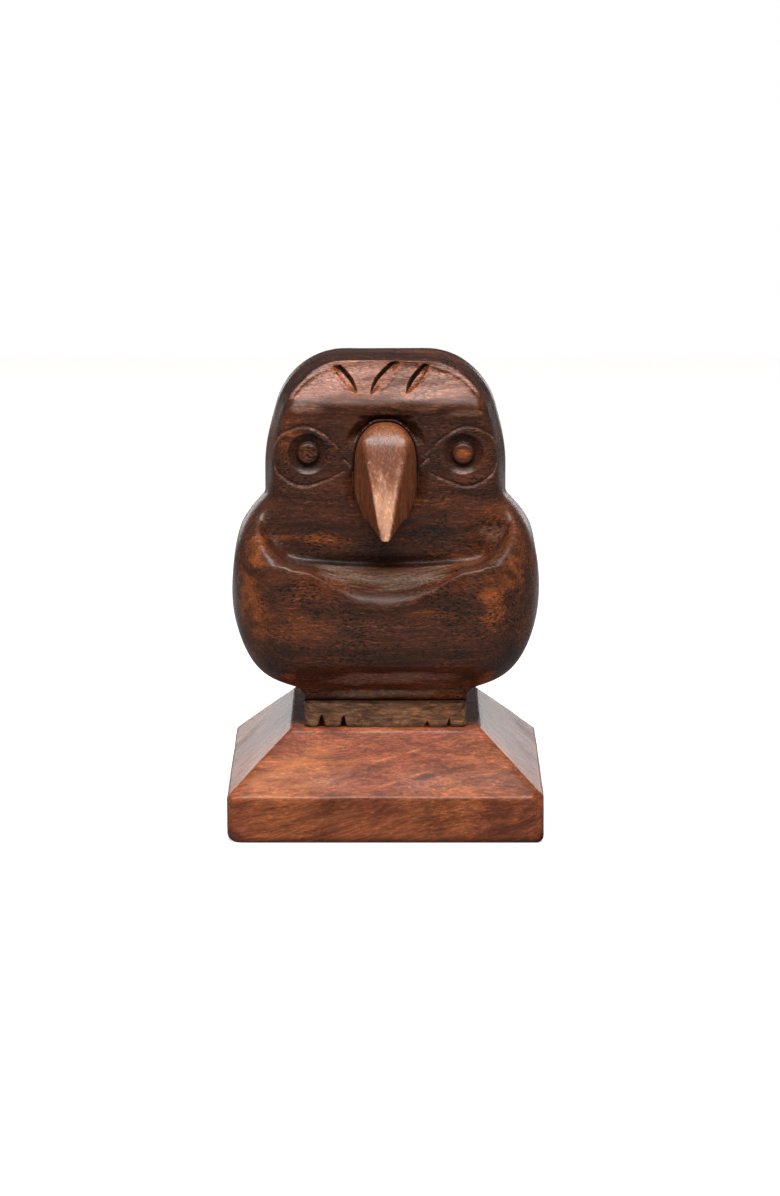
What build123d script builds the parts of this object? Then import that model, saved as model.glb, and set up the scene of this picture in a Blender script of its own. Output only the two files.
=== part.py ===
"""A carved wooden bird that holds a pair of eyeglasses: their bridge sits on its beak.

Frame: millimetres, origin on the table under the plinth's centre, +Z up. The bird looks along -Y,
so +X is the bird's own left.

The figure stands in a stack: a hipped plinth, a raw perch block, the carved body with its head, and
a beak that is carved by itself and pegged into the face. Two wood screws hold the stack from below.
"""

import math
import os

from build123d import *

# ---- plinth: a square slab whose upper half slopes in on four sides to a flat seat
PLINTH_SIDE = 63.5
PLINTH_SLAB = 9.5
PLINTH_RISE = 11.2
PLINTH_INSET = 12.7
PLINTH_CORNER = 1.6
PLINTH_FOOT_CHAMFER = 0.8

# ---- perch block: the raw riser that the bird stands on, with toe cuts in its front edge
PERCH_WIDTH = 32.8
PERCH_DEPTH = 31.0
PERCH_HEIGHT = 5.5
PERCH_BACK_SET = -2.5
PERCH_CORNER = 1.5
TOE_SPREADS = (8.4, 12.9)
TOE_WIDTH = 1.9
TOE_HEIGHT = 2.4
TOE_DEPTH = 1.2

# ---- figure: its height above the perch block, and the shares of it at which its features stand
FIGURE_HEIGHT = 68.7
BELLY_SHARE = 0.313
SHOULDER_SHARE = 0.597
COLLAR_SHARE = 0.397
TEMPLE_SHARE = 0.725
EYE_SHARE = 0.716
BROW_SHARE = 0.841
BEAK_TOP_SHARE = 0.812
BEAK_TIP_SHARE = 0.483

# ---- body: the belly and wings, which swell from the perch and close in on the head
BODY_WIDTH = 62.4
BODY_FRONT = -22.4
BODY_BACK = 16.8
BODY_CORNER = 13.0
NECK_COVER = 1.4
# each belly slice: share of the rise, share of the swell to full width, share of the reach forward
BELLY_SLICES = (
    (0.09, 0.06, 0.03),
    (0.16, 0.40, 0.22),
    (0.33, 0.72, 0.74),
    (0.64, 0.93, 1.00),
    (1.00, 1.00, 0.94),
)
# each shoulder slice: share of the rise, share of the narrowing to the head's width
SHOULDER_SLICES = ((0.47, 0.12), (0.72, 0.40), (1.00, 1.00))

# ---- head: a rounded slab, cut to a face in front
HEAD_WIDTH = 49.0
HEAD_BACK = 9.5
FACE_Y = -11.0
FACE_INSET = 2.2
FACE_TAPER = 9.0
BACK_ROUND = 6.0
CROWN_SHARE = 0.79
CROWN_ROUND = 15.0
TEMPLE_ROUND = 30.0
BROW_STEP = 0.6
RIM_DROP = 1.9
RIM_Y = -6.8

# ---- collar: the hollow that frees the breast from the wings
COLLAR_MARGIN = 0.9
COLLAR_CORNER = 10.0
COLLAR_SAG = 4.8
COLLAR_SET_BACK = 0.5

# ---- eyes and forehead cuts
EYE_SPACING = 31.2
PUPIL_DIAMETER = 5.0
EYE_RING_DIAMETER = 8.2
EYE_RING_DEPTH = 0.6
GOUGE_WIDTH = 1.5
GOUGE_LENGTH = 6.0
GOUGE_DEPTH = 0.7
GOUGE_RISE = 1.6
# each gouge: its place across the forehead, its turn from level
GOUGES = ((-8.8, 126.0), (0.6, 50.0), (6.8, 54.0))

# ---- beak, and the peg that holds it
BEAK_WIDTH = 12.5
BEAK_REACH = 14.6
BEAK_HUMP_REACH = 7.6
BEAK_HUMP_DROP = 4.6
BEAK_UNDERSIDE = 4.1
BEAK_TIP_HEIGHT = 0.8
BEAK_SOCKET = 1.2
BEAK_FIT = 0.05
FACET_TOP_WIDTH = 8.4
FACET_TIP_WIDTH = 1.8
FACET_SEAT_SHARE = 0.62
PEG_DIAMETER = 4.0
PEG_IN_BEAK = 6.0
PEG_IN_BODY = 7.0
PEG_SHARE = 0.425
PEG_FIT = 0.03
PEG_END_GAP = 0.5
PEG_CHAMFER = 0.4

# ---- wood screws, from below
SCREW_SPACING = 16.0
SCREW_LENGTH = 38.0
SCREW_DIAMETER = 3.5
SCREW_CORE = 2.4
SCREW_PITCH = 1.6
SCREW_TURNS = 12
SCREW_POINT = 3.0
SCREW_HEAD_DIAMETER = 6.8
SCREW_HEAD_ANGLE = 90.0
SCREW_RIM = 0.3
SCREW_SINK = 0.6
SCREW_FIT = 0.05
SCREW_END_GAP = 0.5
SCREW_DRIVE_LENGTH = 3.6
SCREW_DRIVE_WIDTH = 0.9
SCREW_DRIVE_DEPTH = 1.1

# ---- heights and places that follow from the sizes
PLINTH_TOP = PLINTH_SLAB + PLINTH_RISE
PERCH_TOP = PLINTH_TOP + PERCH_HEIGHT
PERCH_FRONT = PERCH_BACK_SET - PERCH_DEPTH / 2
PERCH_BACK = PERCH_BACK_SET + PERCH_DEPTH / 2
BELLY_MID = PERCH_TOP + BELLY_SHARE * FIGURE_HEIGHT
SHOULDER_TOP = PERCH_TOP + SHOULDER_SHARE * FIGURE_HEIGHT
HEAD_TOP = PERCH_TOP + FIGURE_HEIGHT
TEMPLE_Z = PERCH_TOP + TEMPLE_SHARE * FIGURE_HEIGHT
COLLAR_Z = PERCH_TOP + COLLAR_SHARE * FIGURE_HEIGHT
EYE_Z = PERCH_TOP + EYE_SHARE * FIGURE_HEIGHT
BROW_Z = PERCH_TOP + BROW_SHARE * FIGURE_HEIGHT
RIM_FOOT_Z = HEAD_TOP - RIM_DROP
BEAK_TOP_Z = PERCH_TOP + BEAK_TOP_SHARE * FIGURE_HEIGHT
BEAK_TIP_Z = PERCH_TOP + BEAK_TIP_SHARE * FIGURE_HEIGHT
BEAK_LENGTH = BEAK_TOP_Z - BEAK_TIP_Z
BEAK_TIP_POINT_Z = BEAK_TIP_Z + BEAK_TIP_HEIGHT
BEAK_UNDER_Z = BEAK_TIP_Z + BEAK_UNDERSIDE
HUMP_Y = FACE_Y - BEAK_HUMP_REACH
HUMP_Z = BEAK_TOP_Z - BEAK_HUMP_DROP
SOCKET_Y = FACE_Y + BEAK_SOCKET
PEG_Z = BEAK_TOP_Z - PEG_SHARE * BEAK_LENGTH
SCREW_XS = (-SCREW_SPACING / 2, SCREW_SPACING / 2)
SCREW_TOP_Z = SCREW_SINK + SCREW_LENGTH
SCREW_CONE = math.tan(math.radians(SCREW_HEAD_ANGLE / 2))
SCREW_HEAD_RISE = (SCREW_HEAD_DIAMETER - SCREW_DIAMETER) / 2 / SCREW_CONE
SCREW_SEAT_RADIUS = SCREW_HEAD_DIAMETER / 2 + (SCREW_SINK + SCREW_RIM) * SCREW_CONE + SCREW_FIT

os.makedirs("parts", exist_ok=True)


def keep(part, name):
    """Labels a finished piece and writes it as parts/NAME.step."""
    part.label = name
    export_step(part, f"parts/{name}.step")


# ---------------------------------------------------------------- plinth
with BuildPart() as plinth:
    with BuildSketch():
        RectangleRounded(PLINTH_SIDE, PLINTH_SIDE, PLINTH_CORNER)
    extrude(amount=PLINTH_SLAB)
    chamfer(plinth.edges().group_by(Axis.Z)[0], PLINTH_FOOT_CHAMFER)
    with BuildSketch(Plane.XY.offset(PLINTH_SLAB)):
        RectangleRounded(PLINTH_SIDE, PLINTH_SIDE, PLINTH_CORNER)
    with BuildSketch(Plane.XY.offset(PLINTH_TOP)):
        seat_side = PLINTH_SIDE - 2 * PLINTH_INSET
        RectangleRounded(seat_side, seat_side, PLINTH_CORNER / 4)
    loft()
    with Locations(*[Location((x, PERCH_BACK_SET, 0), (180, 0, 0)) for x in SCREW_XS]):
        CounterSinkHole(
            SCREW_DIAMETER / 2 + SCREW_FIT,
            SCREW_SEAT_RADIUS,
            depth=PLINTH_TOP,
            counter_sink_angle=SCREW_HEAD_ANGLE,
        )
keep(plinth.part, "plinth")

# ---------------------------------------------------------------- perch block
with BuildPart() as perch_block:
    with BuildSketch(Plane.XY.offset(PLINTH_TOP)):
        with Locations((0, PERCH_BACK_SET)):
            RectangleRounded(PERCH_WIDTH, PERCH_DEPTH, PERCH_CORNER)
    extrude(amount=PERCH_HEIGHT)
    with BuildSketch(Plane.XZ.offset(-PERCH_FRONT)):
        with Locations(*[(side * x, PLINTH_TOP) for x in TOE_SPREADS for side in (-1, 1)]):
            Triangle(a=TOE_WIDTH, b=TOE_HEIGHT, c=TOE_HEIGHT, align=(Align.CENTER, Align.MIN))
    extrude(amount=-TOE_DEPTH, mode=Mode.SUBTRACT)
    with Locations(*[(x, PERCH_BACK_SET, PERCH_TOP) for x in SCREW_XS]):
        Hole(SCREW_DIAMETER / 2 + SCREW_FIT)
keep(perch_block.part, "perch_block")

# ---------------------------------------------------------------- outlines that pieces share
def between(share, low, high):
    """The value that lies that share of the way from low to high."""
    return low + share * (high - low)


def slice_sketch(height, half_width, front, back, corner):
    """Draws one level slice of the belly: a rounded rectangle from front to back at that height."""
    with BuildSketch(Plane.XY.offset(height)) as level:
        with Locations((0, (front + back) / 2)):
            RectangleRounded(2 * half_width, back - front, corner)
    return level.sketch


def head_outline():
    """Draws the head's arched outline on the upright plane where the face's brow stands."""
    side = HEAD_WIDTH / 2
    crown = CROWN_SHARE * side
    with BuildSketch(Plane.XZ.offset(BROW_STEP - FACE_Y)) as arch:
        with BuildLine():
            Polyline(
                (side, BELLY_MID),
                (side, TEMPLE_Z),
                (crown, HEAD_TOP),
                (-crown, HEAD_TOP),
                (-side, TEMPLE_Z),
                (-side, BELLY_MID),
                close=True,
            )
        make_face()
        fillet(arch.vertices().group_by(Axis.Y)[-1], CROWN_ROUND)
        fillet(arch.vertices().group_by(Axis.Y)[1], TEMPLE_ROUND)
    return arch.sketch


def collar_outline(y, sag):
    """Draws the collar's U on the upright plane at y, its floor hanging by sag in the middle."""
    half = HEAD_WIDTH / 2 + COLLAR_MARGIN
    foot = half - COLLAR_CORNER
    knee = COLLAR_CORNER * (1 - math.sqrt(0.5))
    with BuildSketch(Plane.XZ.offset(-y)) as hollow:
        with BuildLine():
            ThreePointArc((-foot, COLLAR_Z), (0, COLLAR_Z - sag), (foot, COLLAR_Z))
            ThreePointArc((foot, COLLAR_Z), (half - knee, COLLAR_Z + knee), (half, COLLAR_Z + COLLAR_CORNER))
            Polyline(
                (half, COLLAR_Z + COLLAR_CORNER),
                (half, HEAD_TOP),
                (-half, HEAD_TOP),
                (-half, COLLAR_Z + COLLAR_CORNER),
            )
            ThreePointArc((-half, COLLAR_Z + COLLAR_CORNER), (knee - half, COLLAR_Z + knee), (-foot, COLLAR_Z))
        make_face()
    return hollow.sketch


def beak_outline(grow):
    """Draws the beak's outline as seen from in front, made larger all round by grow, at its seat."""
    half = BEAK_WIDTH / 2 + grow
    top = BEAK_TOP_Z + grow
    tip = BEAK_TIP_Z - grow
    with BuildSketch(Plane.XZ.offset(-SOCKET_Y)) as teardrop:
        with BuildLine():
            side = Spline(
                (0, top),
                (0.58 * half, between(0.055, top, tip)),
                (0.86 * half, between(0.16, top, tip)),
                (half, between(0.44, top, tip)),
                (0.92 * half, between(0.68, top, tip)),
                (0.68 * half, between(0.84, top, tip)),
                (0, tip),
                tangents=[(1, 0), (-1, -1.2)],
            )
            mirror(side, about=Plane.YZ)
        make_face()
    return teardrop.sketch


# ---------------------------------------------------------------- head
with BuildPart() as head:
    add(head_outline())
    extrude(amount=HEAD_BACK - FACE_Y + BROW_STEP, dir=(0, 1, 0))
    fillet(head.faces().sort_by(Axis.Y)[-1].edges().sort_by(Axis.Z)[1:], BACK_ROUND)
    front = head.faces().sort_by(Axis.Y)[0]
    chamfer(front.edges().sort_by(Axis.Z)[1:], FACE_INSET, FACE_TAPER, reference=front)
    # the side profile: upright face, brow, sloping forehead and the step up to the crown's rim
    with BuildSketch(Plane.YZ):
        with BuildLine():
            Polyline(
                (FACE_Y, BELLY_MID - 1),
                (FACE_Y, BROW_Z),
                (FACE_Y - BROW_STEP, BROW_Z + BROW_STEP),
                (RIM_Y, RIM_FOOT_Z),
                (RIM_Y, HEAD_TOP + 1),
                (FACE_Y - 2 * BROW_STEP, HEAD_TOP + 1),
                (FACE_Y - 2 * BROW_STEP, BELLY_MID - 1),
                close=True,
            )
        make_face()
    extrude(amount=HEAD_WIDTH, both=True, mode=Mode.SUBTRACT)

# ---------------------------------------------------------------- body: belly, wings and head
half_perch, half_body, half_neck = PERCH_WIDTH / 2, BODY_WIDTH / 2, HEAD_WIDTH / 2 - NECK_COVER
slices = [slice_sketch(PERCH_TOP, half_perch, PERCH_FRONT, PERCH_BACK, PERCH_CORNER)]
for rise, swell, reach in BELLY_SLICES:
    slices.append(
        slice_sketch(
            between(rise, PERCH_TOP, BELLY_MID),
            between(swell, half_perch, half_body),
            between(reach, PERCH_FRONT, BODY_FRONT),
            between(swell, PERCH_BACK, BODY_BACK),
            between(swell, PERCH_CORNER, BODY_CORNER),
        )
    )
neck_corner = 0.46 * (HEAD_BACK - FACE_Y - 2 * NECK_COVER)
for rise, narrowing in SHOULDER_SLICES:
    slices.append(
        slice_sketch(
            between(rise, BELLY_MID, SHOULDER_TOP),
            between(narrowing, half_body, half_neck),
            between(narrowing, BODY_FRONT, FACE_Y + NECK_COVER),
            between(narrowing, BODY_BACK, HEAD_BACK - NECK_COVER),
            between(narrowing, BODY_CORNER, neck_corner),
        )
    )

forehead_rise = Vector(0, RIM_Y - FACE_Y + BROW_STEP, RIM_FOOT_Z - BROW_Z - BROW_STEP)
forehead_middle = Vector(0, FACE_Y - BROW_STEP, BROW_Z + BROW_STEP) + forehead_rise / 2
forehead = Plane(forehead_middle, x_dir=(1, 0, 0), z_dir=Vector(1, 0, 0).cross(forehead_rise))

with BuildPart() as bird_body:
    loft(sections=slices)
    # the collar's hollow: its floor is level at the face and hangs lower towards the breast
    back_of_collar = collar_outline(FACE_Y + COLLAR_SET_BACK, COLLAR_SAG / 20)
    front_of_collar = collar_outline(BODY_FRONT - 1, COLLAR_SAG)
    loft(sections=[back_of_collar, front_of_collar], ruled=True, mode=Mode.SUBTRACT)
    add(head.part)
    # the beak's seat and the hole for its peg
    with BuildSketch(Plane.XZ.offset(-SOCKET_Y)):
        add(beak_outline(BEAK_FIT))
        with Locations((0, BEAK_UNDER_Z - BEAK_FIT)):
            Rectangle(2 * BEAK_WIDTH, BEAK_LENGTH, align=(Align.CENTER, Align.MAX), mode=Mode.SUBTRACT)
    extrude(amount=BEAK_REACH, mode=Mode.SUBTRACT)
    with BuildSketch(Plane.XZ.offset(-SOCKET_Y)):
        with Locations((0, PEG_Z)):
            Circle(PEG_DIAMETER / 2 + PEG_FIT)
    extrude(amount=-PEG_IN_BODY - PEG_END_GAP, mode=Mode.SUBTRACT)
    # holes for the screws, from below
    with BuildSketch(Plane.XY.offset(PERCH_TOP)):
        with Locations(*[(x, PERCH_BACK_SET) for x in SCREW_XS]):
            Circle(SCREW_DIAMETER / 2 + SCREW_FIT)
    extrude(amount=SCREW_TOP_Z - PERCH_TOP + SCREW_END_GAP, mode=Mode.SUBTRACT)
    # eye rings and the three forehead cuts
    with BuildSketch(Plane.XZ.offset(-FACE_Y)):
        with Locations((-EYE_SPACING / 2, EYE_Z), (EYE_SPACING / 2, EYE_Z)):
            Circle(EYE_RING_DIAMETER / 2)
            Circle(PUPIL_DIAMETER / 2, mode=Mode.SUBTRACT)
    extrude(amount=-EYE_RING_DEPTH, mode=Mode.SUBTRACT)
    with BuildSketch(forehead):
        for x, turn in GOUGES:
            with Locations((x, GOUGE_RISE)):
                SlotOverall(GOUGE_LENGTH, GOUGE_WIDTH, rotation=turn)
    extrude(amount=-GOUGE_DEPTH, mode=Mode.SUBTRACT)
keep(bird_body.part, "bird_body")

# ---------------------------------------------------------------- beak
with BuildPart() as beak:
    add(beak_outline(0))
    extrude(amount=BEAK_REACH + BEAK_SOCKET, dir=(0, -1, 0))
    with BuildSketch(Plane.YZ):
        with BuildLine():
            hump = Spline(
                (SOCKET_Y, BEAK_TOP_Z + 1),
                (FACE_Y - 0.55 * BEAK_HUMP_REACH, BEAK_TOP_Z - 0.1 * BEAK_HUMP_DROP),
                (FACE_Y - BEAK_HUMP_REACH, BEAK_TOP_Z - BEAK_HUMP_DROP),
                tangents=[(-1, 0), (FACE_Y - BEAK_REACH - HUMP_Y, BEAK_TIP_POINT_Z - HUMP_Z)],
            )
            Polyline(
                hump @ 1,
                (FACE_Y - BEAK_REACH, BEAK_TIP_POINT_Z),
                (FACE_Y, BEAK_UNDER_Z),
                (SOCKET_Y, BEAK_UNDER_Z),
                hump @ 0,
            )
        make_face()
    extrude(amount=BEAK_WIDTH, both=True, mode=Mode.INTERSECT)
    # one flat on each side, which leaves the long facet down the middle
    for side in (1, -1):
        top_corner = Vector(side * FACET_TOP_WIDTH / 2, HUMP_Y, HUMP_Z)
        tip_corner = Vector(side * FACET_TIP_WIDTH / 2, FACE_Y - BEAK_REACH, BEAK_TIP_POINT_Z)
        seat_corner = Vector(side * BEAK_WIDTH / 2, FACE_Y - 2, BEAK_TOP_Z - FACET_SEAT_SHARE * BEAK_LENGTH)
        outward = (tip_corner - top_corner).cross(seat_corner - top_corner) * side
        with BuildSketch(Plane(top_corner, x_dir=tip_corner - top_corner, z_dir=outward)):
            Rectangle(4 * BEAK_LENGTH, 4 * BEAK_LENGTH)
        extrude(amount=BEAK_LENGTH, mode=Mode.SUBTRACT)
    with BuildSketch(Plane.XZ.offset(-SOCKET_Y)):
        with Locations((0, PEG_Z)):
            Circle(PEG_DIAMETER / 2 + PEG_FIT)
    extrude(amount=PEG_IN_BEAK + PEG_END_GAP, mode=Mode.SUBTRACT)
keep(beak.part, "beak")

# ---------------------------------------------------------------- beak peg
with BuildPart() as beak_peg:
    with BuildSketch(Plane.XZ.offset(PEG_IN_BEAK - SOCKET_Y)):
        with Locations((0, PEG_Z)):
            Circle(PEG_DIAMETER / 2)
    extrude(amount=-PEG_IN_BEAK - PEG_IN_BODY)
    chamfer(beak_peg.faces().filter_by(Axis.Y).edges(), PEG_CHAMFER)
keep(beak_peg.part, "beak_peg")

# ---------------------------------------------------------------- wood screws
with BuildPart() as screw:
    with BuildSketch(Plane.XZ):
        with BuildLine():
            outline = [(0, 0), (SCREW_HEAD_DIAMETER / 2, 0), (SCREW_HEAD_DIAMETER / 2, SCREW_RIM)]
            outline.append((SCREW_DIAMETER / 2, SCREW_RIM + SCREW_HEAD_RISE))
            thread_foot = SCREW_LENGTH - SCREW_POINT - SCREW_TURNS * SCREW_PITCH
            outline.append((SCREW_DIAMETER / 2, thread_foot))
            for turn in range(SCREW_TURNS):
                foot = thread_foot + turn * SCREW_PITCH
                outline.append((SCREW_CORE / 2, foot + 0.2 * SCREW_PITCH))
                outline.append((SCREW_CORE / 2, foot + 0.6 * SCREW_PITCH))
                outline.append((SCREW_DIAMETER / 2, foot + 0.9 * SCREW_PITCH))
                outline.append((SCREW_DIAMETER / 2, foot + SCREW_PITCH))
            outline.append((0, SCREW_LENGTH))
            Polyline(*outline, close=True)
        make_face()
    revolve(axis=Axis.Z)
    with BuildSketch():
        Rectangle(SCREW_DRIVE_LENGTH, SCREW_DRIVE_WIDTH)
        Rectangle(SCREW_DRIVE_WIDTH, SCREW_DRIVE_LENGTH)
    extrude(amount=SCREW_DRIVE_DEPTH, mode=Mode.SUBTRACT)
with BuildPart() as base_screws:
    with Locations(*[(x, PERCH_BACK_SET, SCREW_SINK) for x in SCREW_XS]):
        add(screw.part)
keep(base_screws.part, "base_screws")
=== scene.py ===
"""Finishes the carved wooden bird that holds a pair of eyeglasses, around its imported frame.

Lengths in the dataclasses are millimetres in the row's frame: origin on the table under the plinth,
+Z up, the bird looking along -Y. The carver's cuts, the sanding and the wood's figure are made here.
"""

import logging
import math
from collections.abc import Iterable, Sequence
from dataclasses import dataclass, field
from enum import Enum

import bmesh
import bpy
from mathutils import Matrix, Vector, noise


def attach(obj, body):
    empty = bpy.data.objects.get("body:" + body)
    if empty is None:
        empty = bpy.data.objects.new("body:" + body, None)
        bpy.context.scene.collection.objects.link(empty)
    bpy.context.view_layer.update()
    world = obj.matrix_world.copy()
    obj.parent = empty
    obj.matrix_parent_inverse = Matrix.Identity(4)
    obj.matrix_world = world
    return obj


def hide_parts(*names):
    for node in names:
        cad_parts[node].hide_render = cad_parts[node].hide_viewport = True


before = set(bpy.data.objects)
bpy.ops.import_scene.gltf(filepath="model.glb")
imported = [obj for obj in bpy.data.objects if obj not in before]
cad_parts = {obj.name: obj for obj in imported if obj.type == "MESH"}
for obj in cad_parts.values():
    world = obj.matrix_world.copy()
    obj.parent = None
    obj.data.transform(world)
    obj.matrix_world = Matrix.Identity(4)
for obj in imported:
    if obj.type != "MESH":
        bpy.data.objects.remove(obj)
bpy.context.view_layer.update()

MM = 0.001
ROOT = "root"
LOG = logging.getLogger("eyeglasses_stand")

Point = tuple[float, float]
Place = tuple[float, float, float]
Colour = tuple[float, float, float, float]
Socket = bpy.types.NodeSocket


# ------------------------------------------------------------------------------- colour and nodes
def linear(code: str) -> Colour:
    """Turns an sRGB hex colour into the linear RGBA that a shader takes.

    Args:
        code: six hex digits, such as "7a4432".

    Returns:
        The linear colour with full alpha.
    """
    channels = [int(code[i : i + 2], 16) / 255 for i in (0, 2, 4)]
    curve = [c / 12.92 if c <= 0.04045 else ((c + 0.055) / 1.055) ** 2.4 for c in channels]
    return (curve[0], curve[1], curve[2], 1.0)


def add_node(
    tree: bpy.types.NodeTree,
    kind: str,
    inputs: dict[str | int, object] | None = None,
    **settings: object,
) -> bpy.types.Node:
    """Adds one node to a tree, with its settings, and sets or links its inputs.

    Args:
        tree: the node tree of a material or world.
        kind: the node's type after "ShaderNode", such as "TexNoise".
        inputs: by name or place, the value that an input gets or the output that feeds it.
        settings: properties of the node itself.

    Returns:
        The new node.
    """
    node = tree.nodes.new(f"ShaderNode{kind}")
    for name, value in settings.items():
        setattr(node, name, value)
    for name, source in (inputs or {}).items():
        if isinstance(source, Socket):
            tree.links.new(source, node.inputs[name])
        else:
            node.inputs[name].default_value = source
    return node


def bare_material(name: str) -> bpy.types.Material:
    """Makes a material whose node tree is still empty.

    Args:
        name: the material's name.

    Returns:
        The new material.
    """
    material = bpy.data.materials.new(name)
    material.use_nodes = True
    material.node_tree.nodes.clear()
    return material


# -------------------------------------------------------------------------------------- finishes
class Grain(Enum):
    """The way that a piece's grain runs, as the turn in degrees that lays it along the pattern's X."""

    LEVEL = (0.0, 0.0, 0.0)
    UPRIGHT = (0.0, 90.0, 4.0)
    SLANTED = (0.0, 13.0, 9.0)
    SAWN = (0.0, -1.5, 2.0)


class Paint(Enum):
    """What a vertex attribute adds to the wood's own colour; some of it is painted shade and painted
    sheen.
    """

    WEAR = "wear"
    STAIN = "stain"
    PALE = "pale"
    # a greyish matt tone: on the raw strip it is the wood's own, on the shelf it is a painted sheen
    HAZE_AND_SHEEN = "haze_and_sheen"
    # darkens the wood: real dirt in the joints, and painted shade in creases, hollows, grooves and cuts
    DIRT_AND_SHADE = "dirt_and_shade"


@dataclass(frozen=True)
class Figure:
    """One layer of a wood's figure: soft patches that are drawn out along the grain.

    They are across_mm wide and stretch times as long. The noise that makes them has its finer octaves
    in detail, and offset keeps two layers apart. Between low and high the layer rises from rest to
    share.
    """

    across_mm: float
    stretch: float
    detail: float
    offset: float
    low: float
    high: float
    share: float = 1.0
    rest: float = 0.0

    def lay(self, tree: bpy.types.NodeTree, grain: Socket) -> Socket:
        """Adds the layer to a material.

        Args:
            tree: the material's node tree.
            grain: the output with the place along the grain, in millimetres.

        Returns:
            The output with the layer's value.
        """
        size = (1 / (self.across_mm * self.stretch), 1 / self.across_mm, 1 / self.across_mm)
        shift = (self.offset, self.offset, self.offset)
        drawn = add_node(tree, "Mapping", {"Vector": grain, "Scale": size, "Location": shift}).outputs[0]
        octaves = {"Scale": 1.0, "Detail": self.detail, "Roughness": 0.55}
        patches = add_node(tree, "TexNoise", {"Vector": drawn, **octaves}).outputs["Fac"]
        limits = {"From Min": self.low, "From Max": self.high, "To Min": self.rest, "To Max": self.share}
        spread = {"Value": patches, **limits}
        return add_node(tree, "MapRange", spread, interpolation_type="SMOOTHSTEP").outputs[0]


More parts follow.
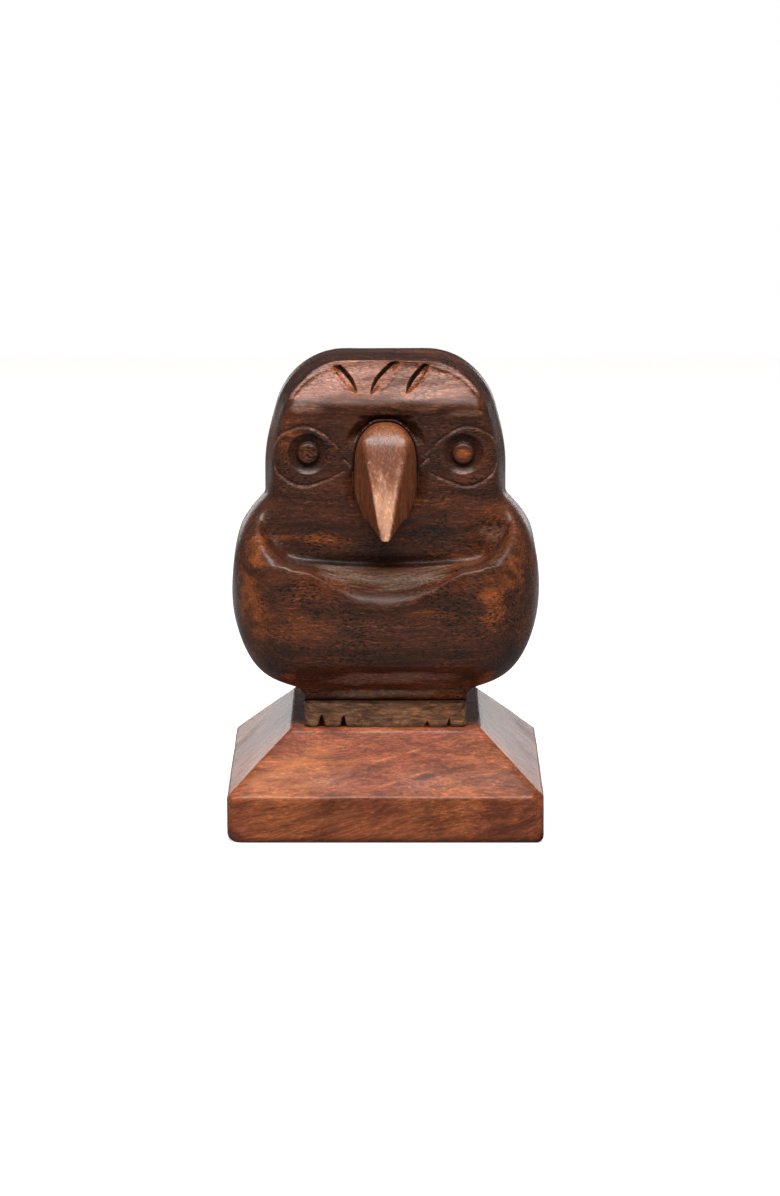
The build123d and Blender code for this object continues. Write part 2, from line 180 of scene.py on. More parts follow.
@dataclass(frozen=True)
class Timber:
    """Solid wood as a carver leaves it: sanded or sawn, then stained, lacquered or left bare.

    Broad dark and orange bands lie along the grain, short open pores make dark dashes with glowing
    wood between them, and a thin lacquer gives a soft sheen that turns milky at a grazing angle.
    """

    name: str
    dark: str
    middle: str
    bright: str
    streak: str
    pale: str
    grain: Grain
    # the greyish tone of the haze paint, which on the shelf is a painted sheen
    haze_and_sheen: str = "7d685c"
    pith_mm: Place = (0.0, -70.0, 12.0)
    ring_mm: float = 4.6
    ring_share: float = 0.4
    band_mm: float = 6.0
    band_share: float = 0.55
    patch_mm: float = 15.0
    patch_share: float = 0.5
    dash_mm: float = 0.27
    dash_share: float = 0.75
    glow_share: float = 0.5
    roughness: float = 0.45
    coat: float = 0.3
    coat_roughness: float = 0.25
    sheen_level: float = 0.4
    worn_share: float = 0.7
    hazy_share: float = 1.6
    relief_mm: float = 0.14
    handled: bool = True

    def material(self) -> bpy.types.Material:
        """Builds the wood.

        Returns:
            The finished material.
        """
        material = bare_material(self.name)
        tree = material.node_tree
        grain = self.swayed(tree)
        held = {
            paint: add_node(tree, "Attribute", attribute_name=paint.value).outputs["Fac"]
            for paint in Paint
        }
        colour = self.figure(tree, grain)
        if self.handled:
            colour = self.painted(tree, grain, colour, held)
        colour, pores, glow = self.pores(tree, grain, colour, held)
        raised = add_node(tree, "Math", {0: glow, 1: 0.3}, operation="MULTIPLY").outputs[0]
        relief = add_node(tree, "Math", {0: raised, 1: pores}, operation="SUBTRACT", use_clamp=True)
        depth = {"Strength": 0.6, "Distance": self.relief_mm * MM, "Height": relief.outputs[0]}
        rough = {"Value": pores, "To Min": self.roughness - 0.06, "To Max": self.roughness + 0.16}
        inputs = {
            "Base Color": colour,
            "Roughness": add_node(tree, "MapRange", rough).outputs[0],
            "Normal": add_node(tree, "Bump", depth).outputs[0],
            "IOR": 1.5,
            "Coat Roughness": self.coat_roughness,
            **self.gloss(tree, held),
        }
        shader = add_node(tree, "BsdfPrincipled", inputs)
        add_node(tree, "OutputMaterial", {"Surface": shader.outputs[0]})
        return material

    def swayed(self, tree: bpy.types.NodeTree) -> Socket:
        """Turns the piece's own place along the grain, and lets the grain wander.

        Args:
            tree: the node tree.

        Returns:
            The output with the place along the grain, in millimetres.
        """
        place = add_node(tree, "TexCoord").outputs["Object"]
        turn = tuple(math.radians(angle) for angle in self.grain.value)
        unit = {"Rotation": turn, "Scale": (1 / MM, 1 / MM, 1 / MM)}
        straight = add_node(tree, "Mapping", {"Vector": place, **unit}).outputs[0]
        # the grain sways over 17 mm, and over 27 mm along its run
        size = (1 / 27.2, 1 / 17.0, 1 / 17.0)
        drawn = add_node(tree, "Mapping", {"Vector": straight, "Scale": size}).outputs[0]
        octaves = {"Scale": 1.0, "Detail": 2.0, "Roughness": 0.55}
        sway = add_node(tree, "TexNoise", {"Vector": drawn, **octaves}).outputs["Color"]
        terms = {0: sway, 1: (2.0, 5.0, 5.0), 2: straight}
        return add_node(tree, "VectorMath", terms, operation="MULTIPLY_ADD").outputs[0]

    def figure(self, tree: bpy.types.NodeTree, grain: Socket) -> Socket:
        """Lays the broad figure: orange patches, dark bands, broken growth rings and fine lines.

        Args:
            tree: the node tree.
            grain: the output with the place along the grain.

        Returns:
            The output with the colour.
        """
        patch = Figure(self.patch_mm, 1.6, 2.0, 40.0, 0.38, 0.70, self.patch_share).lay(tree, grain)
        band = Figure(self.band_mm, 4.0, 3.0, 0.0, 0.40, 0.66, self.band_share).lay(tree, grain)
        lines = Figure(0.45, 24.0, 2.0, 61.0, 0.3, 0.72).lay(tree, grain)
        broken = Figure(2.2, 7.0, 4.0, 23.0, 0.35, 0.6, rest=0.4).lay(tree, grain)
        centred = add_node(tree, "Mapping", {"Vector": grain, "Location": self.pith_mm}).outputs[0]
        # rings repeat each 0.314 units at a scale of 1
        wave = {"Vector": centred, "Scale": 0.314 / self.ring_mm}
        rings = add_node(tree, "TexWave", wave, wave_type="RINGS", rings_direction="X").outputs["Fac"]
        spread = {"Value": rings, "From Min": 0.55, "From Max": 1.0, "To Max": self.ring_share}
        ring = add_node(tree, "MapRange", spread, interpolation_type="SMOOTHSTEP").outputs[0]
        ring = add_node(tree, "Math", {0: ring, 1: broken}, operation="MULTIPLY").outputs[0]
        colour = linear(self.middle)
        for share, tone in ((patch, self.bright), (band, self.streak), (ring, self.dark)):
            tones = {0: share, 6: colour, 7: linear(tone)}
            colour = add_node(tree, "Mix", tones, data_type="RGBA").outputs[2]
        tones = {0: lines, 6: (0.7, 0.68, 0.67, 1.0), 7: (1.28, 1.24, 1.2, 1.0)}
        fine = add_node(tree, "Mix", tones, data_type="RGBA").outputs[2]
        tones = {0: 1.0, 6: colour, 7: fine}
        return add_node(tree, "Mix", tones, data_type="RGBA", blend_type="MULTIPLY").outputs[2]

    def painted(
        self, tree: bpy.types.NodeTree, grain: Socket, colour: Socket, held: dict[Paint, Socket]
    ) -> Socket:
        """Adds the patches that the piece's attributes hold, broken up along the grain.

        Args:
            tree: the node tree.
            grain: the output with the place along the grain.
            colour: the output with the wood's colour.
            held: the outputs with the attributes.

        Returns:
            The output with the changed colour.
        """
        ragged = Figure(2.2, 7.0, 4.0, 23.0, 0.3, 0.7, 0.42).lay(tree, grain)
        order = (Paint.STAIN, Paint.WEAR, Paint.PALE, Paint.HAZE_AND_SHEEN)
        for paint, tone in zip(order, (self.streak, self.bright, self.pale, self.haze_and_sheen)):
            terms = {0: held[paint], 1: 0.58, 2: ragged}
            raised = add_node(tree, "Math", terms, operation="MULTIPLY_ADD", use_clamp=True).outputs[0]
            spread = {"Value": raised, "From Min": 0.38, "From Max": 1.0}
            share = add_node(tree, "MapRange", spread, interpolation_type="SMOOTHSTEP").outputs[0]
            tones = {0: share, 6: colour, 7: linear(tone)}
            colour = add_node(tree, "Mix", tones, data_type="RGBA").outputs[2]
        # the dark tone covers real dirt, and also painted shade in creases, hollows and grooves
        tones = {0: held[Paint.DIRT_AND_SHADE], 6: colour, 7: linear(self.dark)}
        return add_node(tree, "Mix", tones, data_type="RGBA").outputs[2]

    def pores(
        self, tree: bpy.types.NodeTree, grain: Socket, colour: Socket, held: dict[Paint, Socket]
    ) -> tuple[Socket, Socket, Socket]:
        """Draws the pores as dark dashes and the wood between them as a glow.

        The real pores are about 0.2 mm wide; they are drawn coarser, so that they show.

        Args:
            tree: the node tree.
            grain: the output with the place along the grain.
            colour: the output with the wood's colour.
            held: the outputs with the attributes.

        Returns:
            The outputs with the colour, the pores and the glow.
        """
        dashes = Figure(self.dash_mm, 3.2, 1.0, 9.0, 0.49, 0.62).lay(tree, grain)
        glow = Figure(1.5 * self.dash_mm, 3.4, 2.0, 71.0, 0.52, 0.68, self.glow_share).lay(tree, grain)
        density = Figure(7.0, 1.5, 2.0, 5.0, 0.25, 0.65).lay(tree, grain)
        # rubbed and hazy wood, and the shelf's painted sheen, have their pores half filled
        terms = {0: held[Paint.PALE], 1: held[Paint.HAZE_AND_SHEEN]}
        rubbed = add_node(tree, "Math", terms, operation="ADD", use_clamp=True).outputs[0]
        terms = {0: rubbed, 1: -0.5, 2: self.dash_share}
        still_open = add_node(tree, "Math", terms, operation="MULTIPLY_ADD", use_clamp=True).outputs[0]
        for share in (still_open, dashes):
            density = add_node(tree, "Math", {0: density, 1: share}, operation="MULTIPLY").outputs[0]
        tones = {0: 1.0, 6: colour, 7: (2.3, 1.9, 1.4, 1.0)}
        lit = add_node(tree, "Mix", tones, data_type="RGBA", blend_type="MULTIPLY").outputs[2]
        for share, tone in ((glow, lit), (density, linear(self.dark))):
            colour = add_node(tree, "Mix", {0: share, 6: colour, 7: tone}, data_type="RGBA").outputs[2]
        return colour, density, glow

    def gloss(self, tree: bpy.types.NodeTree, held: dict[Paint, Socket]) -> dict[str, object]:
        """Takes the lacquer's gloss off rubbed, hazy and dirty wood, and off the painted sheen and painted
        shade.

        Args:
            tree: the node tree.
            held: the outputs with the attributes.

        Returns:
            The shader's gloss inputs, each a value, or an output where the gloss varies.
        """
        levels = {"Coat Weight": self.coat, "Specular IOR Level": self.sheen_level}
        if not self.handled:
            return levels
        matt: object = 0.0
        dulled = {Paint.PALE: self.worn_share, Paint.HAZE_AND_SHEEN: self.hazy_share, Paint.DIRT_AND_SHADE: 1.0}
        for paint, strength in dulled.items():
            share = add_node(tree, "Math", {0: held[paint], 1: strength}, operation="MULTIPLY").outputs[0]
            matt = add_node(tree, "Math", {0: matt, 1: share}, operation="MAXIMUM").outputs[0]
        clear = add_node(tree, "Math", {0: 1.0, 1: matt}, operation="SUBTRACT", use_clamp=True).outputs[0]
        return {
            name: add_node(tree, "Math", {0: clear, 1: level}, operation="MULTIPLY").outputs[0]
            for name, level in levels.items()
            if level > 0
        }


@dataclass(frozen=True)
class ZincSteel:
    """Zinc-plated screw steel, rolled and bright: a warm grey metal with cloudy, duller blooms."""

    name: str = "zinc_plated_screw_steel"
    base: str = "b9b3a2"
    dull: str = "8a8478"
    bloom_mm: float = 1.5

    def material(self) -> bpy.types.Material:
        """Builds the metal.

        Returns:
            The finished material.
        """
        material = bare_material(self.name)
        tree = material.node_tree
        place = add_node(tree, "TexCoord").outputs["Object"]
        clouds = {"Vector": place, "Scale": 1 / (self.bloom_mm * MM), "Detail": 3.0}
        bloom = add_node(tree, "TexNoise", clouds).outputs["Fac"]
        spread = {"Value": bloom, "From Min": 0.35, "From Max": 0.7}
        share = add_node(tree, "MapRange", spread, interpolation_type="SMOOTHSTEP").outputs[0]
        tones = {0: share, 6: linear(self.base), 7: linear(self.dull)}
        rough = {"Value": bloom, "To Min": 0.28, "To Max": 0.45}
        inputs = {
            "Base Color": add_node(tree, "Mix", tones, data_type="RGBA").outputs[2],
            "Roughness": add_node(tree, "MapRange", rough).outputs[0],
            "Metallic": 1.0,
        }
        shader = add_node(tree, "BsdfPrincipled", inputs)
        add_node(tree, "OutputMaterial", {"Surface": shader.outputs[0]})
        return material


@dataclass(frozen=True)
class MattePaper:
    """Pale background paper: matt, and seen darker by the stand, as if flags cut its bounce."""

    name: str = "matte_pale_paper"
    base: str = "f2f0ee"
    flagged: str = "8c8886"
    lift: float = 0.6
    fibre_mm: float = 0.8

    def material(self) -> bpy.types.Material:
        """Builds the paper.

        Returns:
            The finished material.
        """
        material = bare_material(self.name)
        tree = material.node_tree
        seen = add_node(tree, "LightPath").outputs["Is Camera Ray"]
        place = add_node(tree, "TexCoord").outputs["Object"]
        # the fibres' mottle is barely seen
        fibres = {"Vector": place, "Scale": 1 / (self.fibre_mm * MM)}
        mottle = add_node(tree, "TexNoise", fibres).outputs["Fac"]
        tones = {0: seen, 6: linear(self.flagged), 7: linear(self.base)}
        sheet = add_node(tree, "Mix", tones, data_type="RGBA").outputs[2]
        tones = {0: mottle, 6: (0.98, 0.98, 0.98, 1.0), 7: (1.0, 1.0, 1.0, 1.0)}
        fibre = add_node(tree, "Mix", tones, data_type="RGBA").outputs[2]
        tones = {0: 1.0, 6: sheet, 7: fibre}
        glow = {0: seen, 1: self.lift}
        inputs = {
            "Base Color": add_node(tree, "Mix", tones, data_type="RGBA", blend_type="MULTIPLY").outputs[2],
            "Roughness": 0.9,
            "Specular IOR Level": 0.1,
            "Emission Color": (1.0, 1.0, 1.0, 1.0),
            "Emission Strength": add_node(tree, "Math", glow, operation="MULTIPLY").outputs[0],
        }
        shader = add_node(tree, "BsdfPrincipled", inputs)
        add_node(tree, "OutputMaterial", {"Surface": shader.outputs[0]})
        return material


# ------------------------------------------------------------------------------------ carving tools
def smooth_step(value: float, low: float, high: float) -> float:
    """Rises softly from 0 at low to 1 at high.

    Args:
        value: the value to place.
        low: where the result leaves 0.
        high: where the result reaches 1.

    Returns:
        A number from 0 to 1.
    """
    share = min(1.0, max(0.0, (value - low) / (high - low)))
    return share * share * (3 - 2 * share)


@dataclass(frozen=True)
class Cut:
    """One stroke of the carver's V tool: a path in X and Z, in millimetres, that swells in its middle."""

    path: Sequence[Point]
    width: float
    depth: float

    def nearest(self, x: float, z: float) -> tuple[float, float]:
        """Finds where a point lies beside the stroke.

        Args:
            x: the point's place across the face.
            z: the point's height.

        Returns:
            The distance from the path, above 0 over it and below 0 under it, and the share of the
            path at its nearest point.
        """
        best, share, run = 1e9, 0.0, 0.0
        lengths = [math.dist(a, b) for a, b in zip(self.path, self.path[1:])]
        total = sum(lengths)
        for (ax, az), (bx, bz), length in zip(self.path, self.path[1:], lengths):
            along = ((x - ax) * (bx - ax) + (z - az) * (bz - az)) / length**2
            along = min(1.0, max(0.0, along))
            foot_x, foot_z = ax + along * (bx - ax), az + along * (bz - az)
            gap = math.hypot(x - foot_x, z - foot_z)
            if gap < abs(best):
                best = math.copysign(gap, z - foot_z)
                share = (run + along * length) / total
            run += length
        return best, share

    def bite(self, x: float, z: float) -> tuple[float, float]:
        """Gives the depth of the stroke at a point.

        Args:
            x: the point's place across the face.
            z: the point's height.

        Returns:
            The depth in millimetres, 0 outside the stroke, and how far over its path the point is.
        """
        gap, share = self.nearest(x, z)
        swell = max(0.3, math.sin(math.pi * share) ** 0.4)
        half = self.width / 2 * swell
        if abs(gap) >= half:
            return 0.0, 0.0
        return self.depth * swell * (1 - abs(gap) / half) ** 0.85, gap / half


@dataclass(frozen=True)
class Tint:
    """A long soft patch of paint: its middle in X and Z, its half lengths, its turn and its strength."""

    paint: Paint
    x: float
    z: float
    reach_x: float
    reach_z: float
    strength: float
    turn_deg: float = 0.0

    def share(self, place: Vector) -> float:
        """Gives the patch's strength at a point.

        Args:
            place: a point in millimetres.

        Returns:
            The strength, 0 outside the patch.
        """
        turn = math.radians(self.turn_deg)
        dx, dz = place.x - self.x, place.z - self.z
        along = (dx * math.cos(turn) + dz * math.sin(turn)) / self.reach_x
        across = (dz * math.cos(turn) - dx * math.sin(turn)) / self.reach_z
        return self.strength * (1 - smooth_step(math.hypot(along, across), 0.1, 1.0))


def paint_layers(mesh: bmesh.types.BMesh, tints: Sequence[Tint] = ()) -> dict[Paint, object]:
    """Adds the paint attributes to a piece and lays its patches.

    Args:
        mesh: the piece's bmesh.
        tints: its patches.

    Returns:
        The attribute layers by paint.
    """
    layers = {paint: mesh.verts.layers.float.new(paint.value) for paint in Paint}
    for vert in mesh.verts:
        place = vert.co / MM
        for tint in tints:
            # light paint is for the front
            if place.y > 0 and tint.paint in (Paint.PALE, Paint.HAZE_AND_SHEEN):
                continue
            layer = layers[tint.paint]
            vert[layer] = max(vert[layer], tint.share(place))
    return layers


def flowing(points: Sequence[Point], steps: int = 5) -> list[Point]:
    """Runs a smooth curve through a few points.

    Args:
        points: the points.
        steps: the parts into which each span is divided.

    Returns:
        The curve's points.
    """
    ends = [points[0], *points, points[-1]]
    curve = []
    for a, b, c, d in zip(ends, ends[1:], ends[2:], ends[3:]):
        for step in range(steps):
            t = step / steps
            outer = (t * (2 - t) * t - t, t * t * (t - 1))
            inner = (2 + t * t * (3 * t - 5), t + t * t * (4 - 3 * t))
            spans = ((outer[0], a), (inner[0], b), (inner[1], c), (outer[1], d))
            curve.append(tuple(sum(weight * p[axis] for weight, p in spans) / 2 for axis in (0, 1)))
    return [*curve, points[-1]]


def mirrored(points: Iterable[Point]) -> list[Point]:
    """Gives the same path on the other side of the face."""
    return [(-x, z) for x, z in points]


def cad_copy(node: str) -> bmesh.types.BMesh:
    """Copies a CAD node's mesh and merges its loose triangles.

    Args:
        node: the node's name.

    Returns:
        A new bmesh, in metres.
    """
    mesh = bmesh.new()
    mesh.from_mesh(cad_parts[node].data)
    bmesh.ops.remove_doubles(mesh, verts=mesh.verts, dist=0.002 * MM)
    return mesh


def new_piece(mesh: bmesh.types.BMesh, name: str) -> bpy.types.Object:
    """Puts a bmesh into a new object at the origin.

    Args:
        mesh: the bmesh, which is freed.
        name: the object's name.

    Returns:
        The new object.
    """
    data = bpy.data.meshes.new(name)
    mesh.to_mesh(data)
    mesh.free()
    piece = bpy.data.objects.new(name, data)
    bpy.context.scene.collection.objects.link(piece)
    return piece


def even_skin(piece: bpy.types.Object, voxel_mm: float) -> None:
    """Rebuilds a piece's skin as an even mesh that a carver's cuts can bend.

    Args:
        piece: the piece.
        voxel_mm: the size of its new faces.
    """
    remesh = piece.modifiers.new("even_skin", "REMESH")
    remesh.mode = "VOXEL"
    remesh.voxel_size = voxel_mm * MM
    depsgraph = bpy.context.evaluated_depsgraph_get()
    old = piece.data
    piece.data = bpy.data.meshes.new_from_object(piece.evaluated_get(depsgraph))
    piece.modifiers.clear()
    piece.data.name = piece.name
    bpy.data.meshes.remove(old)


@dataclass(frozen=True)
class Region:
    """A box of a piece, alike on both sides of its middle: how far it reaches out, up and back."""

    side: Point = (0.0, 99.0)
    height: Point = (0.0, 99.0)
    back: float = 99.0

    def holds(self, vert: bmesh.types.BMVert) -> bool:
        """Tells whether a vertex lies in the region.

        Args:
            vert: the vertex.

        Returns:
            True inside the box.
        """
        place = vert.co / MM
        beside = self.side[0] <= abs(place.x) < self.side[1]
        return beside and self.height[0] < place.z < self.height[1] and place.y < self.back


def sand(mesh: bmesh.types.BMesh, passes: int, region: Region | None = None) -> None:
    """Softens edges as sandpaper does.

    Args:
        mesh: the piece's bmesh.
        passes: the number of passes.
        region: the part that is sanded; all of the piece if left out.
    """
    verts = [v for v in mesh.verts if region is None or region.holds(v)]
    for _ in range(passes):
        bmesh.ops.smooth_vert(
            mesh, verts=verts, factor=0.5, use_axis_x=True, use_axis_y=True, use_axis_z=True
        )


def refine(mesh: bmesh.types.BMesh, region: Region) -> None:
    """Halves the faces in one region, so that it takes finer cuts.

    Args:
        mesh: the piece's bmesh.
        region: the part that is refined.
    """
    inside = {v for v in mesh.verts if region.holds(v)}
    edges = [e for e in mesh.edges if e.verts[0] in inside and e.verts[1] in inside]
    bmesh.ops.subdivide_edges(mesh, edges=edges, cuts=1, use_grid_fill=True)


def wander(place: Vector, size_mm: float, seed: float) -> float:
    """Gives a slow, repeatable unevenness from -1 to 1.

    Args:
        place: a point in millimetres.
        size_mm: how far apart its swells are.
        seed: a number that keeps two pieces apart.

    Returns:
        The unevenness at that point.
    """
    return noise.noise(place / size_mm + Vector((seed, seed * 1.7, seed * 0.6)))


def finish_piece(piece: bpy.types.Object, material: bpy.types.Material, node: str) -> None:
    """Gives a piece its material and its body, and hides the CAD node that it replaces.

    Args:
        piece: the piece.
        material: its finish.
        node: the CAD node that it replaces.
    """
    piece.data.materials.clear()
    piece.data.materials.append(material)
    for face in piece.data.polygons:
        face.use_smooth = True
    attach(piece, ROOT)
    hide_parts(node)
    LOG.info("%s: %d faces", piece.name, len(piece.data.polygons))


# ------------------------------------------------------------------------------------ sub-assemblies
@dataclass
class WorkedPiece:
    """A piece that starts as its CAD node, gets an even skin and is then worked by hand."""

    node: str
    name: str
    slot: str
    voxel_mm: float
    tints: Sequence[Tint] = ()

    def build(self, finish: Timber) -> None:
        """Builds the piece and dresses it.

        Args:
            finish: its wood.
        """
        piece = new_piece(cad_copy(self.node), self.name)
        even_skin(piece, self.voxel_mm)
        mesh = bmesh.new()
        mesh.from_mesh(piece.data)
        self.work(mesh)
        mesh.to_mesh(piece.data)
        mesh.free()
        finish_piece(piece, finish.material(), self.node)

    def work(self, mesh: bmesh.types.BMesh) -> None:
        """Carves, sands and paints the piece's skin; each piece has its own way."""
        raise NotImplementedError


@dataclass
class Plinth(WorkedPiece):
    """The hipped plinth, sawn square and hand-sanded, so its edges wander a little."""

    node: str = "plinth"
    name: str = "carved_plinth"
    slot: str = "plinth_rosewood"
    voxel_mm: float = 0.45
    slab_mm: float = 9.5
    half_mm: float = 31.75
    seat_mm: float = 20.3
    uneven_mm: float = 0.14
    edge_dip_mm: float = 0.5
    # each knocked corner: its place, its reach and its depth
    knocks: Sequence[tuple[Place, float, float]] = (
        ((31.75, -31.75, 9.5), 3.2, 0.9),
        ((-31.75, -31.75, 0.0), 3.6, 1.0),
    )
    tints: Sequence[Tint] = (
        Tint(Paint.STAIN, -4.0, 13.6, 20.0, 1.1, 1.0, 15.0),
        Tint(Paint.STAIN, 10.0, 13.2, 16.0, 0.9, 1.0, 11.0),
        Tint(Paint.STAIN, 14.0, 17.0, 12.0, 0.7, 0.85, 17.0),
        Tint(Paint.STAIN, -20.0, 11.6, 12.0, 0.45, 0.8, 16.0),
        Tint(Paint.STAIN, 27.0, 12.5, 16.0, 9.0, 0.66, 0.0),
        Tint(Paint.WEAR, -18.0, 13.0, 22.0, 7.0, 0.72, 12.0),
        Tint(Paint.WEAR, 2.0, 12.0, 15.0, 0.4, 0.8, 15.0),
        Tint(Paint.WEAR, 3.0, 16.4, 12.0, 0.4, 0.8, 13.0),
        Tint(Paint.STAIN, 26.0, 4.0, 26.0, 9.0, 0.8, 4.0),
        Tint(Paint.STAIN, -24.0, 7.0, 8.0, 1.0, 0.7, 10.0),
        Tint(Paint.STAIN, 3.0, 2.5, 16.0, 0.8, 0.7, 12.0),
        Tint(Paint.WEAR, -12.0, 5.0, 16.0, 2.0, 0.6, 9.0),
        Tint(Paint.DIRT_AND_SHADE, 31.7, 1.0, 2.2, 2.6, 0.85),
    )

    def work(self, mesh: bmesh.types.BMesh) -> None:
        """Sands the plinth, wears it down and paints it.

        Args:
            mesh: its bmesh.
        """
        sand(mesh, 1)
        for vert in mesh.verts:
            self.wear_down(vert)
        paint_layers(mesh, self.tints)

    def wear_down(self, vert: bmesh.types.BMVert) -> None:
        """Moves one vertex inwards by the plinth's knocks, its unevenness and its dipped edges.

        Args:
            vert: the vertex.
        """
        place = vert.co / MM
        for corner, reach, bite in self.knocks:
            inward = Vector((-corner[0], -corner[1], 0.0)).normalized() * bite
            vert.co += inward * (1 - smooth_step((place - Vector(corner)).length, 0.3, reach)) * MM
        # the foot and the seat stay true
        if place.z < 0.5 or place.z > self.seat_mm:
            return
        vert.co -= vert.normal * self.uneven_mm * (0.5 + 0.5 * wander(place, 11.0, 3.0)) * MM
        # the slab's top edge sags where the saw wandered
        edge = max(abs(place.x), abs(place.y))
        near_edge = smooth_step(edge, self.half_mm - 8.0, self.half_mm - 0.5)
        near_edge *= 1 - smooth_step(abs(place.z - self.slab_mm), 0.4, 8.0)
        swell = wander(Vector((place.x, place.y, 0.0)), 14.0, 8.0)
        vert.co.z -= self.edge_dip_mm * near_edge * (0.5 + 0.5 * swell) * MM


@dataclass
class PerchBlock(WorkedPiece):
    """The raw riser, sawn and left bare, with the toe cuts in its front edge."""

    node: str = "perch_block"
    name: str = "raw_perch_block"
    slot: str = "perch_raw_wood"
    voxel_mm: float = 0.26
    front_y_mm: float = -18.0
    foot_mm: float = 20.7
    top_mm: float = 26.2
    saw_mm: float = 0.05
    # each toe cut: its place, its half width, its height and its depth
    toes: Sequence[tuple[float, float, float, float]] = (
        (-12.9, 1.0, 2.4, 1.1),
        (-8.5, 0.8, 2.2, 1.3),
        (8.4, 0.7, 1.1, 0.7),
        (12.8, 0.6, 1.7, 0.8),
    )
    tints: Sequence[Tint] = (
        Tint(Paint.WEAR, -12.6, 21.6, 2.2, 1.6, 0.9),
        Tint(Paint.WEAR, 12.8, 22.0, 1.8, 1.4, 0.6),
    )

    def work(self, mesh: bmesh.types.BMesh) -> None:
        """Cuts the toes, leaves the saw's marks, lays dirt in the joints and paints shade into the toe
        cuts.

        Args:
            mesh: the block's bmesh.
        """
        sand(mesh, 2)
        layers = paint_layers(mesh, self.tints)
        for vert in mesh.verts:
            place = vert.co / MM
            bite = self.toe_bite(place)
            if place.y < self.front_y_mm + 1.6 and abs(place.x) < 15.2 and place.z < 24.6:
                vert.co.y = (self.front_y_mm + self.saw_mm + bite) * MM
            # saw marks run level round the block's sides
            elif self.foot_mm + 0.3 < place.z < self.top_mm - 0.3:
                level = Vector((place.x * 0.06, place.y * 0.06, place.z * 1.6))
                vert.co -= vert.normal * self.saw_mm * (1 + wander(level, 1.0, 5.0)) * MM
            joint = 0.8 * (1 - smooth_step(self.top_mm - place.z, 0.1, 0.9))
            foot = 0.5 * (1 - smooth_step(place.z - self.foot_mm, 0.1, 0.7))
            # dirt darkens the joints at the block's top and foot; the toe cuts are darkened with their
            # depth as painted shade
            vert[layers[Paint.DIRT_AND_SHADE]] = max(joint, foot, min(0.9, 1.1 * bite))

    def toe_bite(self, place: Vector) -> float:
        """Gives the depth of the toe cuts at a point of the block's front.

        Args:
            place: a point in millimetres.

        Returns:
            The depth in millimetres.
        """
        if place.y > self.front_y_mm + 1.8:
            return 0.0
        deepest = 0.0
        for middle, half, rise, depth in self.toes:
            reach = half * max(0.0, 1 - (place.z - self.foot_mm) / rise) ** 0.7
            gap = abs(place.x - middle)
            if gap < reach:
                deepest = max(deepest, depth * (1 - gap / reach) ** 0.6)
        return deepest


